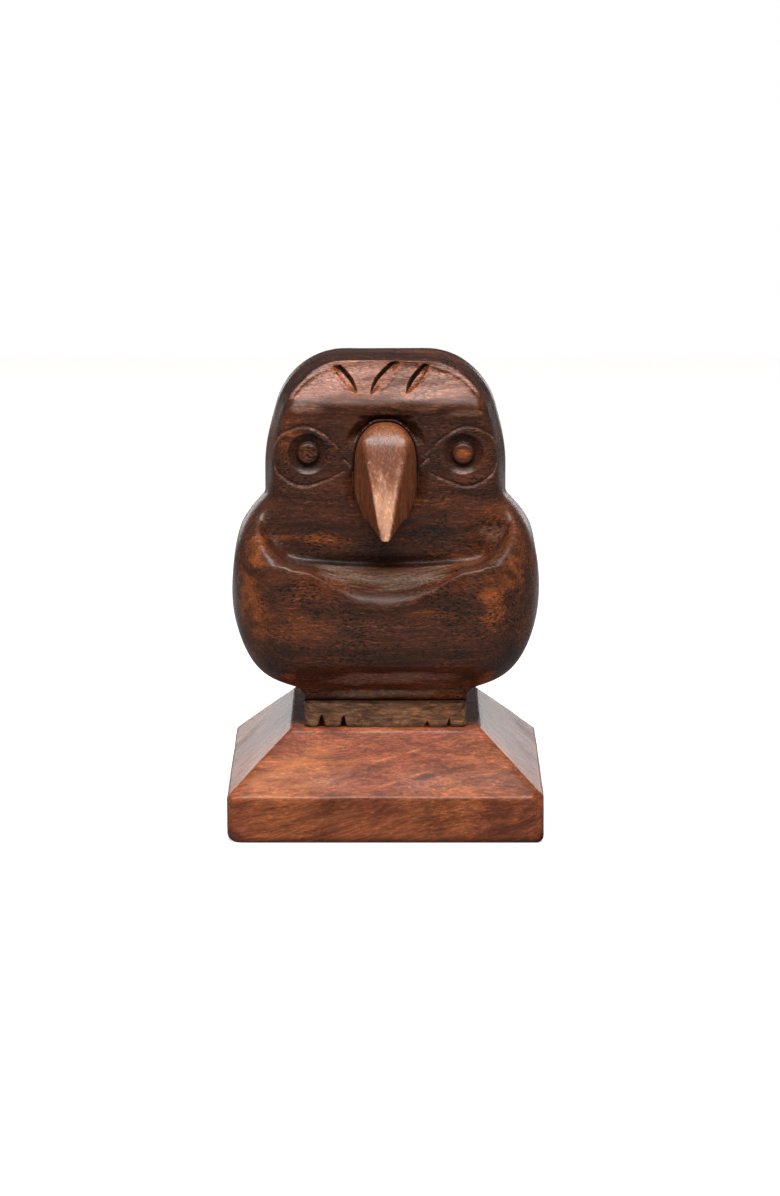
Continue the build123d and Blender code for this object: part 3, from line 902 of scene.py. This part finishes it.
@dataclass
class Face:
    """What the carver cut into the front of the head: eyes, brow, beak root and forehead strokes."""

    plane_y: float = -11.0
    face_foot: float = 64.0
    face_top: float = 83.3
    half_width: float = 23.4
    brow_point: Point = (-11.6, 84.58)
    rim_point: Point = (-6.8, 93.0)
    eye: Point = (15.6, 75.4)
    pupil_radius: float = 2.5
    ring_radius: float = 4.15
    ring_depth: float = 0.9
    pupil_sink: float = 0.12
    arch: tuple[float, float, float, float] = (20.5, 79.5, 14.1, 2.6)
    arch_depth: float = 0.32
    beak_round: tuple[float, float] = (75.9, 6.2)
    outline_cuts: list[Cut] = field(default_factory=list)
    forehead_cuts: list[Cut] = field(default_factory=list)

    def __post_init__(self) -> None:
        """Lays out the carver's strokes."""
        upper = flowing([(23.0, 75.0), (21.4, 78.8), (17.0, 81.0), (12.6, 79.4), (7.6, 74.9)])
        lower = flowing([(23.0, 75.6), (21.8, 71.6), (17.2, 68.8), (12.4, 69.9), (7.4, 72.3)])
        inner = [(8.9, 74.7), (7.0, 73.0)]
        for path, width, depth in ((upper, 0.95, 0.34), (lower, 0.95, 0.38), (inner, 0.9, 0.4)):
            self.outline_cuts.append(Cut(path, width, depth))
            self.outline_cuts.append(Cut(mirrored(path), width, depth))
        for path in (
            [(-10.9, 93.6), (-7.6, 90.1), (-6.0, 87.9)],
            [(3.0, 94.2), (-1.3, 90.0), (-2.8, 87.7)],
            [(8.6, 93.2), (5.9, 90.0), (4.4, 87.8)],
        ):
            self.forehead_cuts.append(Cut(path, 2.1, 1.0))

    def beak_half(self, z: float) -> float:
        """Gives the half width of the beak's root.

        Args:
            z: the height at which it is taken.

        Returns:
            The half width in millimetres, 0 beyond the root's ends.
        """
        middle, radius = self.beak_round
        if z >= middle:
            return math.sqrt(max(0.0, radius**2 - (z - middle) ** 2))
        return radius * math.sqrt(max(0.0, 1 - (max(0.0, 70.0 - z) / 10.6) ** 2))

    def root_gap(self, x: float, z: float) -> float:
        """Gives how far a point of the face is outside the beak's root.

        Args:
            x: the point's place across the face.
            z: the point's height.

        Returns:
            The distance in millimetres, below 0 inside the root.
        """
        middle, radius = self.beak_round
        if z > middle:
            return math.hypot(x, z - middle) - radius
        return abs(x) - self.beak_half(z)

    def carve(self, vert: bmesh.types.BMVert, layers: dict[Paint, object]) -> None:
        """Carves one vertex of the head's front.

        Args:
            vert: the vertex.
            layers: the paint attributes.
        """
        place = vert.co / MM
        if place.y > -3.0 or (vert.normal.y > -0.2 and place.y < self.plane_y + 1.1):
            return
        if self.face_foot < place.z < self.face_top and abs(place.x) < self.half_width:
            self.carve_face(vert, place, layers)
        elif self.brow_point[1] < place.z <= self.arch[1] + self.arch[2]:
            self.carve_forehead(vert, place, layers)

    def carve_face(self, vert: bmesh.types.BMVert, place: Vector, layers: dict[Paint, object]) -> None:
        """Carves the eyes, their outlines and the cuts round the beak's root.

        The hollows get painted shade, and the outlines a painted highlight.

        Args:
            vert: the vertex.
            place: its place in millimetres.
            layers: the paint attributes.
        """
        root = self.root_gap(place.x, place.z)
        # beside the root only the face's own skin is cut, and not the wall of the beak's seat
        limit = self.plane_y + 0.15 if root < 0.4 else -6.0
        if place.y > limit or root < 0.1:
            return
        outline = max(cut.bite(place.x, place.z)[0] for cut in self.outline_cuts)
        eye, dirt_and_shade, wear = self.eye_depth(place)
        recess = self.root_depth(place, root)
        ringed = math.hypot(abs(place.x) - self.eye[0], place.z - self.eye[1]) < self.ring_radius + 0.6
        level = self.plane_y if ringed else place.y
        vert.co.y = (level + max(outline + eye, recess)) * MM
        # painted shade: the eye's groove and the hollow round the beak's root are darkened with their
        # depth
        vert[layers[Paint.DIRT_AND_SHADE]] = min(0.85, max(dirt_and_shade, 0.45 * recess))
        # painted highlight: the thin outline is painted pale along its groove, where the cut also goes
        # through the stain
        vert[layers[Paint.PALE]] = max(vert[layers[Paint.PALE]], min(1.0, 3.0 * outline))
        vert[layers[Paint.WEAR]] = max(vert[layers[Paint.WEAR]], wear)

    def eye_depth(self, place: Vector) -> tuple[float, float, float]:
        """Gives the shape of the eye at a point: a domed pupil in a hollow ring.

        Args:
            place: a point in millimetres.

        Returns:
            The depth in millimetres, its painted shade, darker towards the groove, and its wear.
        """
        gap = math.hypot(abs(place.x) - self.eye[0], place.z - self.eye[1])
        if gap < self.pupil_radius:
            share = gap / self.pupil_radius
            wall = (self.ring_depth - self.pupil_sink) * smooth_step(share, 0.7, 1.05)
            # painted shade at the pupil's edge, where it drops into the groove; the orange middle is the
            # pupil's own colour
            dirt_and_shade, wear = 0.6 * smooth_step(share, 0.7, 0.97), 0.8 * (1 - smooth_step(share, 0.2, 0.85))
            return self.pupil_sink * share**2 + wall, dirt_and_shade, wear
        if gap < self.ring_radius:
            share = (gap - self.pupil_radius) / (self.ring_radius - self.pupil_radius)
            # painted shade, darkest in the deepest part of the ring
            return self.ring_depth * (1 - share**1.5), 0.6 * (1 - share), 0.0
        return 0.0, 0.0, 0.0

    def root_depth(self, place: Vector, gap: float) -> float:
        """Gives the hollow round the beak's root: deep over it, and a narrow bevel down its sides.

        Args:
            place: a point in millimetres.
            gap: how far the point is outside the root.

        Returns:
            The depth in millimetres.
        """
        over = smooth_step(place.z, 76.5, 80.0)
        side = smooth_step(place.z, 64.5, 67.0) * (1 - smooth_step(place.z, 70.5, 72.5))
        hollow = 1.3 * over * max(0.0, 1 - gap / 2.0) ** 0.6
        # two small chips at the hollow's upper corners
        chip = math.hypot((abs(place.x) - 4.3) / 1.3, (place.z - 82.6) / 0.8)
        hollow = max(hollow, 0.8 * max(0.0, 1 - chip))
        return max(hollow, 0.7 * side * max(0.0, 1 - gap / 2.3))

    def carve_forehead(self, vert: bmesh.types.BMVert, place: Vector, layers: dict[Paint, object]) -> None:
        """Sinks the forehead's arched panel and cuts its three strokes.

        Each stroke keeps its orange wood on the wall that faces up, and its other wall is darkened as
        painted shade.
        The panel's rim is painted pale as a painted highlight, and the panel's pale tone is partly a
        painted sheen.

        Args:
            vert: the vertex.
            place: its place in millimetres.
            layers: the paint attributes.
        """
        half, foot, rise, power = self.arch
        norm = (abs(place.x / half) ** power + (max(0.0, place.z - foot) / rise) ** power) ** (1 / power)
        inside = (1 - norm) * rise
        # painted highlight: a pale line along the panel's rim, with the stain taken off it
        edge = (1 - smooth_step(abs(inside), 0.1, 0.45)) * smooth_step(place.z, 84.5, 88.0)
        vert[layers[Paint.PALE]] = max(vert[layers[Paint.PALE]], edge)
        vert[layers[Paint.STAIN]] *= 1 - edge
        if inside < 0:
            return
        gap = min(abs(cut.nearest(place.x, place.z)[0]) for cut in self.forehead_cuts)
        bite, side = max(cut.bite(place.x, place.z) for cut in self.forehead_cuts)
        (brow_y, brow_z), (rim_y, rim_z) = self.brow_point, self.rim_point
        plane = brow_y + (rim_y - brow_y) * (place.z - brow_z) / (rim_z - brow_z)
        # over the rim's foot and round the strokes the panel runs on as one plane
        beside = (1 - smooth_step(gap, 0.9, 2.6)) * smooth_step(place.z, 85.6, 87.0)
        share = max(beside, smooth_step(place.z, rim_z - 1.4, rim_z - 0.4))
        level = place.y + share * (plane - place.y)
        sunk = self.arch_depth * smooth_step(inside, 0.0, 0.9) * smooth_step(place.z, 84.6, 89.0)
        # the panel is painted pale: rubbed wood, partly a painted sheen
        rubbed = 0.95 * smooth_step(inside, 0.0, 0.8) * smooth_step(place.z, 84.0, 87.5)
        vert[layers[Paint.PALE]] = max(vert[layers[Paint.PALE]], rubbed)
        vert.co.y = (max(level, place.y - 0.1) + sunk + bite) * MM
        # orange wood shows where the pale skin is cut
        vert[layers[Paint.WEAR]] = max(vert[layers[Paint.WEAR]], 1 - smooth_step(gap, 1.2, 1.8))
        # painted shade: the upper wall of each stroke is darkened, and only the lower wall keeps its
        # orange
        if bite > 0:
            upper = smooth_step(side, -0.15, 0.35)
            vert[layers[Paint.DIRT_AND_SHADE]] = 0.75 * upper * min(1.0, 2.2 * bite)
            vert[layers[Paint.PALE]] = 0.0
            vert[layers[Paint.WEAR]] = 1 - upper


@dataclass
class BirdBody(WorkedPiece):
    """The carved bird: belly, wings and head in one block, softened by sanding."""

    node: str = "bird_body"
    name: str = "carved_bird"
    slot: str = "body_rosewood"
    voxel_mm: float = 0.52
    hand_mm: float = 0.22
    breast_y: float = -22.1
    throat_y: float = -11.0
    # the shelf under the throat: the height of its lip, the lip's rise, and the height of its back
    shelf: tuple[float, float, float] = (49.1, 0.018, 53.35)
    shelf_half: float = 15.3
    shelf_round: float = 10.0
    facet: tuple[Point, Point] = ((-17.7, 28.4), (-20.8, 33.5))
    facet_half: float = 17.6
    # the parts that are sanded most, then those that take finer cuts
    cheeks: Region = Region((20.2, 99.0), (54.5, 84.5), -4.5)
    brow: Region = Region((0.0, 22.0), (81.5, 88.0), -9.0)
    head_front: Region = Region((0.0, 22.5), (64.0, 95.0), -5.9)
    forehead: Region = Region((0.0, 12.6), (86.6, 94.6), -5.9)
    strokes: Region = Region((0.0, 12.4), (86.8, 94.4), -5.0)
    face: Face = field(default_factory=Face)
    tints: Sequence[Tint] = (
        # forehead and brow, rubbed light; their pale tone is partly a painted sheen
        Tint(Paint.PALE, -1.0, 93.0, 23.0, 8.0, 1.0),
        Tint(Paint.PALE, -16.0, 84.0, 8.0, 4.6, 0.75),
        Tint(Paint.PALE, 16.5, 83.6, 7.0, 4.0, 0.68),
        Tint(Paint.WEAR, -19.5, 80.0, 5.0, 7.0, 0.6),
        Tint(Paint.WEAR, 0.0, 85.5, 21.0, 4.0, 0.5),
        Tint(Paint.HAZE_AND_SHEEN, 0.0, 85.8, 30.0, 4.6, 0.4),
        # cheeks
        Tint(Paint.WEAR, -20.0, 60.0, 5.0, 5.5, 0.55),
        Tint(Paint.WEAR, -13.0, 57.5, 10.0, 4.0, 0.6),
        Tint(Paint.STAIN, 10.0, 61.0, 16.0, 10.0, 1.0),
        # the throat's edge is matt on one side
        Tint(Paint.HAZE_AND_SHEEN, 22.0, 58.0, 7.0, 9.0, 0.4),
        Tint(Paint.WEAR, 20.5, 62.0, 3.0, 8.0, 0.35),
        # breast
        Tint(Paint.WEAR, -26.5, 46.0, 7.0, 14.0, 0.8, 12.0),
        Tint(Paint.STAIN, -20.5, 49.5, 5.0, 3.6, 0.85),
        Tint(Paint.WEAR, -26.0, 57.0, 4.5, 8.0, 0.75, -8.0),
        Tint(Paint.WEAR, 6.0, 45.5, 14.0, 3.0, 0.55, -6.0),
        Tint(Paint.WEAR, 21.5, 47.0, 5.5, 9.0, 0.95, 8.0),
        Tint(Paint.WEAR, 26.0, 52.0, 5.0, 8.0, 0.7, 8.0),
        Tint(Paint.STAIN, 26.0, 36.0, 5.5, 7.0, 1.0, -30.0),
        Tint(Paint.STAIN, 13.0, 37.5, 9.0, 3.4, 0.6),
        Tint(Paint.STAIN, -25.0, 33.5, 6.0, 2.6, 0.8, -35.0),
        Tint(Paint.STAIN, 2.0, 34.6, 15.0, 0.9, 0.85),
        Tint(Paint.WEAR, -19.0, 30.8, 4.0, 2.4, 1.0, -30.0),
        Tint(Paint.WEAR, 20.0, 30.8, 4.2, 2.6, 1.0, 25.0),
        Tint(Paint.PALE, 0.0, 31.2, 22.0, 3.2, 0.9),
        Tint(Paint.HAZE_AND_SHEEN, 0.0, 31.0, 22.0, 3.4, 0.66),
        # the raw strip over the joint
        Tint(Paint.HAZE_AND_SHEEN, 0.0, 27.6, 30.0, 1.9, 1.0),
        Tint(Paint.DIRT_AND_SHADE, 0.0, 26.2, 26.0, 0.7, 0.7),
    )

    def work(self, mesh: bmesh.types.BMesh) -> None:
        """Sands the block, rounds its shelf, carves its face and pares its foot.

        Args:
            mesh: the bird's bmesh.
        """
        sand(mesh, 3)
        sand(mesh, 45, self.cheeks)
        sand(mesh, 30, self.brow)
        for vert in mesh.verts:
            self.roll(vert)
        refine(mesh, self.head_front)
        refine(mesh, self.forehead)
        mesh.normal_update()
        layers = paint_layers(mesh, self.tints)
        for vert in mesh.verts:
            self.band(vert, layers)
            self.shade_shelf(vert, layers)
            self.face.carve(vert, layers)
            self.handle(vert)
            self.pare(vert)
        sand(mesh, 2, self.strokes)

    def band(self, vert: bmesh.types.BMVert, layers: dict[Paint, object]) -> None:
        """Paints the dark band of wood over the crown and down the head's sides.

        Args:
            vert: the vertex.
            layers: the paint attributes.
        """
        share = smooth_step(vert.normal.y, -0.75, -0.45) * smooth_step(vert.co.z / MM, 76.0, 84.0)
        vert[layers[Paint.STAIN]] = max(vert[layers[Paint.STAIN]], share)
        vert[layers[Paint.PALE]] *= 1 - share
        vert[layers[Paint.WEAR]] *= 1 - share

    def handle(self, vert: bmesh.types.BMVert) -> None:
        """Moves one vertex inwards by the unevenness of hand work, away from the fitted joints.

        Args:
            vert: the vertex.
        """
        place = vert.co / MM
        if place.z < 28.0:
            return
        beside = smooth_step(abs(place.x), 7.5, 12.0)
        beyond = max(smooth_step(-place.z, -60.0, -56.0), smooth_step(place.z, 83.0, 88.0))
        free = max(beside, beyond, smooth_step(place.y, -8.5, -6.0))
        depth = free * self.hand_mm * (0.5 + 0.5 * wander(place, 10.0, 4.0))
        vert.co -= vert.normal * depth * MM

    def roll(self, vert: bmesh.types.BMVert) -> None:
        """Rounds the lip of the shelf under the throat, most in the middle.

        Args:
            vert: the vertex.
        """
        place = vert.co / MM
        foot, rise, back = self.shelf
        share = abs(place.x) / self.shelf_half
        if share >= 1 or not 42.0 < place.z < 53.0 or place.y > -12.0:
            return
        lip = foot + rise * place.x**2
        plane = self.breast_y + (place.z - lip) * (self.throat_y - self.breast_y) / (back - lip)
        reach = self.shelf_round * (1 - share * share)
        near = max(0.0, reach - abs(self.breast_y - plane)) / reach
        rounded = max(self.breast_y, plane) + near * near * reach / 4
        vert.co.y = max(place.y, min(rounded, place.y + 2.4)) * MM

    def shade_shelf(self, vert: bmesh.types.BMVert, layers: dict[Paint, object]) -> None:
        """Paints a greyish sheen over the shelf, a painted sheen that also dulls its gloss, and painted
        shade in the crease behind it.

        Args:
            vert: the vertex.
            layers: the paint attributes.
        """
        place = vert.co / MM
        if not (43.0 < place.z < 55.6 and -22.8 < place.y < -10.5 and abs(place.x) < 21.0):
            return
        middle = 1 - smooth_step(abs(place.x), 11.0, 19.0)
        above = place.z - self.shelf[0] - self.shelf[1] * place.x**2
        crease = smooth_step(place.y, -13.0, -12.0) * (1 - smooth_step(place.z, 54.0, 55.4)) * middle
        # painted sheen: the greyish haze tone, strongest just under the crease
        haze_and_sheen = 0.33 * smooth_step(above, -4.5, -1.5) + 0.62 * smooth_step(above, -0.6, 1.6)
        haze_and_sheen *= middle * (1 - smooth_step(place.y, -12.6, -11.6))
        vert[layers[Paint.HAZE_AND_SHEEN]] = max(vert[layers[Paint.HAZE_AND_SHEEN]], haze_and_sheen)
        # painted shade: the crease behind the shelf is darkened
        vert[layers[Paint.DIRT_AND_SHADE]] = max(vert[layers[Paint.DIRT_AND_SHADE]], 0.75 * crease)

    def pare(self, vert: bmesh.types.BMVert) -> None:
        """Pares one vertex back to the flat facet at the foot of the breast.

        Args:
            vert: the vertex.
        """
        place = vert.co / MM
        (foot_y, foot_z), (top_y, top_z) = self.facet
        if place.y < -14.0 and foot_z < place.z < top_z and abs(place.x) < self.facet_half:
            plane = foot_y + (top_y - foot_y) * (place.z - foot_z) / (top_z - foot_z)
            vert.co.y = max(place.y, plane) * MM


@dataclass
class Beak(WorkedPiece):
    """The beak, carved from a lighter piece with its grain upright."""

    node: str = "beak"
    name: str = "carved_beak"
    slot: str = "beak_rosewood"
    voxel_mm: float = 0.22
    tip_z: float = 59.4
    hump_z: float = 77.4
    facet_top: float = 4.0
    facet_tip: float = 0.8
    hump: Region = Region(height=(75.0, 99.0))

    def work(self, mesh: bmesh.types.BMesh) -> None:
        """Sands the beak, its hump most, and rubs its front light.

        Args:
            mesh: the beak's bmesh.
        """
        sand(mesh, 4)
        sand(mesh, 60, self.hump)
        layers = paint_layers(mesh)
        for vert in mesh.verts:
            self.rub(vert, layers)

    def rub(self, vert: bmesh.types.BMVert, layers: dict[Paint, object]) -> None:
        """Paints one vertex: the long facet and the hump are rubbed light, the flanks are dark.

        Args:
            vert: the vertex.
            layers: the paint attributes.
        """
        place = vert.co / MM
        share = (place.z - self.tip_z) / (self.hump_z - self.tip_z)
        half = self.facet_tip + (self.facet_top - self.facet_tip) * share
        facet = 1 - smooth_step(abs(place.x + 0.15), half - 0.5, half + 0.25)
        facet *= 1 - smooth_step(place.z, 70.0, 76.5)
        hump = (1 - smooth_step(abs(place.x), 3.6, 5.6)) * smooth_step(place.z, 76.0, 78.4)
        vert[layers[Paint.PALE]] = max(facet, 0.12 * hump)
        vert[layers[Paint.STAIN]] = 0.3 * smooth_step(abs(place.x), half + 0.2, half + 1.4) * (1 - hump)


@dataclass
class Fixings:
    """The hidden dowel and the two wood screws, which keep their CAD shapes."""

    def dress(self, dowel: Timber, steel: ZincSteel) -> None:
        """Gives the fixings their finishes.

        Args:
            dowel: the peg's wood.
            steel: the screws' metal.
        """
        for node, material in (("beak_peg", dowel.material()), ("base_screws", steel.material())):
            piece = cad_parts[node]
            piece.data.materials.clear()
            piece.data.materials.append(material)
            LOG.info("%s: CAD shape kept", node)


@dataclass(frozen=True)
class SoftBox:
    """One soft light: where it hangs and what it faces, in metres, its size and its power."""

    name: str
    place: Place
    aim: Place
    size: Point
    watts: float

    def hang(self) -> None:
        """Hangs the light, out of the camera's sight."""
        lamp = bpy.data.lights.new(self.name, "AREA")
        lamp.shape = "RECTANGLE"
        lamp.size, lamp.size_y = self.size
        lamp.energy = self.watts
        holder = bpy.data.objects.new(self.name, lamp)
        holder.location = self.place
        toward = Vector(self.aim) - Vector(self.place)
        holder.rotation_euler = toward.to_track_quat("-Z", "Y").to_euler()
        holder.visible_camera = False
        bpy.context.scene.collection.objects.link(holder)


@dataclass
class Studio:
    """A pale floor, soft boxes and the camera."""

    lens_mm: float = 133.9
    distance_mm: float = 911.0
    pitch_deg: float = 11.68
    aim_mm: Place = (0.9, 0.0, 43.62)
    floor_half_m: float = 0.62
    fill: float = 0.12
    lights: Sequence[SoftBox] = (
        SoftBox("key_box", (0.0, -0.33, 0.72), (0.0, 0.0, 0.06), (0.8, 0.32), 8.2),
        SoftBox("back_card", (0.0, 0.95, 0.03), (0.0, 0.0, 0.03), (0.9, 0.08), 0.62),
        SoftBox("floor_card", (0.0, 0.45, 0.002), (0.0, 0.45, 1.0), (0.4, 0.70), 0.45),
    )

    def build(self) -> None:
        """Builds the floor, the lights and the camera."""
        self.floor()
        for light in self.lights:
            light.hang()
        self.surround()
        self.camera()
        scene = bpy.context.scene
        scene.view_settings.view_transform = "Standard"
        scene.view_settings.look = "None"

    def floor(self) -> None:
        """Lays the paper floor."""
        mesh = bmesh.new()
        bmesh.ops.create_grid(mesh, x_segments=1, y_segments=1, size=self.floor_half_m)
        floor = new_piece(mesh, "paper_floor")
        floor.data.materials.append(MattePaper().material())

    def surround(self) -> None:
        """Sets the pale surround that fills the shadows."""
        world = bpy.data.worlds.new("pale_surround")
        bpy.context.scene.world = world
        world.use_nodes = True
        tree = world.node_tree
        tree.nodes.clear()
        seen = add_node(tree, "LightPath").outputs["Is Camera Ray"]
        strength = add_node(tree, "MapRange", {"Value": seen, "To Min": self.fill}).outputs[0]
        sky = add_node(tree, "Background", {"Color": (1.0, 1.0, 1.0, 1.0), "Strength": strength})
        add_node(tree, "OutputWorld", {"Surface": sky.outputs[0]})

    def camera(self) -> None:
        """Places the camera at its distance and pitch, in front of the bird."""
        pitch = math.radians(self.pitch_deg)
        aim = Vector(self.aim_mm) * MM
        back = Vector((0.0, -math.cos(pitch), math.sin(pitch)))
        lens = bpy.data.cameras.new("studio_camera")
        lens.lens = self.lens_mm
        lens.sensor_fit = "VERTICAL"
        lens.sensor_height = 36.0
        lens.clip_start = 0.05
        camera = bpy.data.objects.new("studio_camera", lens)
        camera.location = aim + back * self.distance_mm * MM
        camera.rotation_euler = (-back).to_track_quat("-Z", "Y").to_euler()
        bpy.context.scene.collection.objects.link(camera)
        bpy.context.scene.camera = camera


# ---------------------------------------------------------------------------------------- the woods
# sheesham, stained dark and wiped with satin lacquer: near-black bands, glowing orange wood where it
# is rubbed, and a greyish haze on its ledges, which on the shelf is a painted sheen
BODY_WOOD = Timber(
    name="dark_stained_rosewood_lacquered",
    dark="140a06",
    middle="56301f",
    bright="a5592b",
    streak="33201b",
    pale="b28374",
    grain=Grain.LEVEL,
    patch_share=0.35,
    dash_share=1.0,
    glow_share=0.65,
    sheen_level=0.3,
    relief_mm=0.28,
)
# the same rosewood unstained, planed and lacquered glossier: warm red brown with long slanting grain
PLINTH_WOOD = Timber(
    name="reddish_rosewood_lacquered",
    dark="4a241a",
    middle="9b543c",
    bright="c87a48",
    streak="5c3024",
    pale="c98f72",
    grain=Grain.SLANTED,
    band_mm=2.4,
    ring_share=0.3,
    dash_share=0.4,
    glow_share=0.35,
    coat=0.25,
    coat_roughness=0.14,
    sheen_level=0.12,
)
# its pale heartwood, sanded and lacquered: light brown, upright grain, rubbed almost bare in front
BEAK_WOOD = Timber(
    name="light_rosewood_heartwood_lacquered",
    dark="331a12",
    middle="80492f",
    bright="b87448",
    streak="4f271b",
    pale="cf9a7d",
    grain=Grain.UPRIGHT,
    ring_share=0.25,
    band_share=0.4,
    dash_mm=0.33,
    dash_share=0.6,
    coat=0.35,
    worn_share=0.35,
)
# the rosewood sawn and left bare: dry, dull and greyish, with close level lines
PERCH_WOOD = Timber(
    name="sawn_bare_rosewood",
    dark="1f130d",
    middle="927058",
    bright="a8693c",
    streak="513a2b",
    pale="b89c80",
    grain=Grain.SAWN,
    ring_mm=1.5,
    band_mm=1.0,
    band_share=0.7,
    dash_share=0.5,
    coat=0.0,
    roughness=0.72,
    sheen_level=0.25,
)
# beech turned on a lathe and left bare: pale, even and matt
DOWEL_WOOD = Timber(
    name="turned_beech_dowel",
    dark="8a6642",
    middle="c79a6b",
    bright="dcb68a",
    streak="b0855a",
    pale="e2c39c",
    grain=Grain.UPRIGHT,
    dash_share=0.3,
    coat=0.0,
    roughness=0.6,
    sheen_level=0.3,
    handled=False,
)


def main() -> None:
    """Builds the stand, piece by piece, then the studio around it."""
    logging.basicConfig(level=logging.INFO, format="%(name)s: %(message)s")
    Plinth().build(PLINTH_WOOD)
    PerchBlock().build(PERCH_WOOD)
    BirdBody().build(BODY_WOOD)
    Beak().build(BEAK_WOOD)
    Fixings().dress(DOWEL_WOOD, ZincSteel())
    Studio().build()


if __name__ == "__main__":
    main()
